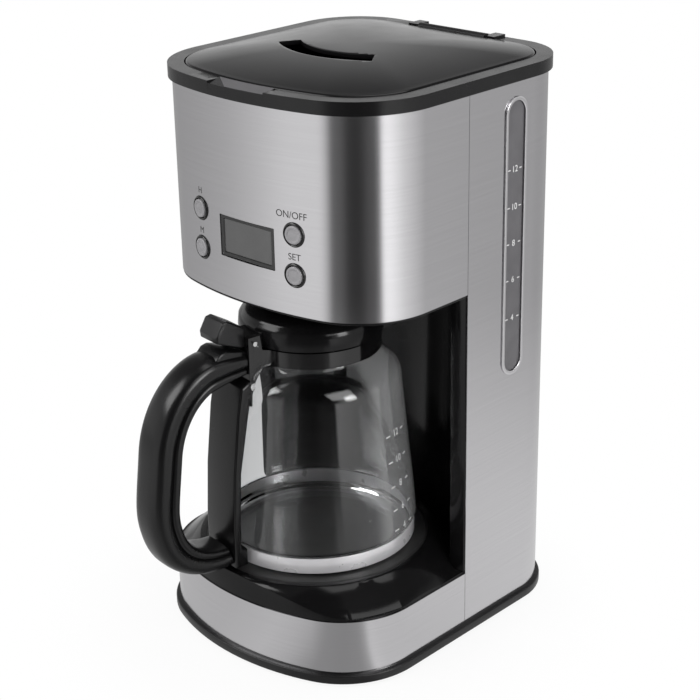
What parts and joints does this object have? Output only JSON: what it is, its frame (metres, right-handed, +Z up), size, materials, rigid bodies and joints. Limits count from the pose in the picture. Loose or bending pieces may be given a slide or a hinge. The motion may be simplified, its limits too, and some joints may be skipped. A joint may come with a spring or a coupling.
{
  "type": "drip coffee maker",
  "caption": "Drip coffee maker with a bowed steel head, hinged lid, side water gauge, push buttons and a glass carafe on a warming plate.",
  "frame": {"origin": "on the counter under the middle of the whole outline, carafe handle included", "axes": "-Y is the front, towards the carafe handle; +X is the side with the water gauge; +Z is up"},
  "size_m": [0.1886, 0.2683, 0.366],
  "materials": {
    "brushed_steel": "fine brushed, satin",
    "satin_trim": "satin trim",
    "gloss_black": "glossy black moulding",
    "satin_black": "satin black moulding",
    "inner_plastic": "moulded plastic",
    "plate_coating": "non-stick coating",
    "aluminium": "cast and drawn",
    "zinc_steel": "zinc plated",
    "silicone_black": "silicone rubber",
    "silicone_clear": "translucent silicone",
    "silicone_red": "silicone rubber",
    "tank_plastic": "translucent polypropylene",
    "gauge_plastic": "smoked clear plastic",
    "lens_plastic": "smoked display lens",
    "display": "liquid crystal module",
    "button_grey": "satin grey caps",
    "board_green": "solder mask",
    "ceramic": "thermoset",
    "mesh_gold": "fine gold-tone mesh",
    "glass": "clear borosilicate"
  },
  "bodies": {
    "machine": {"plinth": "satin_black", "bottom_cover": "inner_plastic", "rubber_feet": "silicone_black", "bottom_screws": "zinc_steel", "base_band": "brushed_steel", "base_deck": "gloss_black", "warming_plate": "plate_coating", "plate_seal": "silicone_black", "heater_block": "aluminium", "water_tube": "aluminium", "heater_clamp": "zinc_steel", "thermostat": "ceramic", "rear_shell": "brushed_steel", "column_front": "gloss_black", "water_tank": "tank_plastic", "gauge_window": "gauge_plastic", "gauge_frame": "satin_trim", "check_valve": "tank_plastic", "inlet_hose": "silicone_clear", "riser_tube": "tank_plastic", "riser_grommet": "silicone_red", "cord_gland": "satin_black", "terminal_block": "ceramic", "head_shell": "brushed_steel", "head_base": "gloss_black", "head_tray": "inner_plastic", "filter_basket": "inner_plastic", "mesh_filter": "mesh_gold", "drip_seal": "silicone_red", "drip_spring": "zinc_steel", "top_rim": "satin_black", "hinge_pins": "zinc_steel", "lcd_lens": "lens_plastic", "lcd_module": "display", "control_frame": "inner_plastic", "control_board": "board_green", "board_screws": "zinc_steel", "tact_switches": "inner_plastic", "button_rings": "satin_black"},
    "top_lid": {"lid": "gloss_black", "lid_liner": "inner_plastic", "shower_head": "inner_plastic"},
    "hour_key": {"hour_button": "button_grey"},
    "minute_key": {"minute_button": "button_grey"},
    "power_key": {"power_button": "button_grey"},
    "program_key": {"program_button": "button_grey"},
    "drip_valve": {"drip_stop": "inner_plastic"},
    "carafe": {"carafe_glass": "glass", "carafe_band": "brushed_steel", "carafe_collar": "satin_black", "carafe_handle": "satin_black", "handle_strap": "satin_black", "handle_screws": "zinc_steel", "carafe_pin": "zinc_steel"},
    "carafe_cover": {"carafe_lid": "gloss_black", "lid_lever": "gloss_black"}
  },
  "joints": [
    {"name": "lid_hinge", "type": "hinge", "parent": "machine", "child": "top_lid", "pos_m": [0, 0.1245, 0.357], "axis": [-1, 0, 0], "range_deg": [0, 95]},
    {"name": "hour_press", "type": "slide", "parent": "machine", "child": "hour_key", "axis": [0.1696, 0.9855, 0], "range_m": [0, 0.0012], "stiffness_N_per_m": 900, "springref_m": -0.0003},
    {"name": "minute_press", "type": "slide", "parent": "machine", "child": "minute_key", "axis": [0.1696, 0.9855, 0], "range_m": [0, 0.0012], "stiffness_N_per_m": 900, "springref_m": -0.0003},
    {"name": "power_press", "type": "slide", "parent": "machine", "child": "power_key", "axis": [-0.1696, 0.9855, 0], "range_m": [0, 0.0012], "stiffness_N_per_m": 900, "springref_m": -0.0003},
    {"name": "program_press", "type": "slide", "parent": "machine", "child": "program_key", "axis": [-0.1696, 0.9855, 0], "range_m": [0, 0.0012], "stiffness_N_per_m": 900, "springref_m": -0.0003},
    {"name": "drip_valve_lift", "type": "slide", "parent": "machine", "child": "drip_valve", "axis": [0, 0, 1], "range_m": [0, 0.003], "stiffness_N_per_m": 300, "springref_m": -0.001, "deforming": ["drip_spring"]},
    {"name": "carafe_slide", "type": "slide", "parent": "machine", "child": "carafe", "axis": [0, -1, 0], "range_m": [0, 0.18]},
    {"name": "carafe_lid_hinge", "type": "hinge", "parent": "carafe", "child": "carafe_cover", "pos_m": [-0.00726, -0.05969, 0.2047], "axis": [0.9903, -0.1392, 0], "range_deg": [0, 6]}
  ]
}
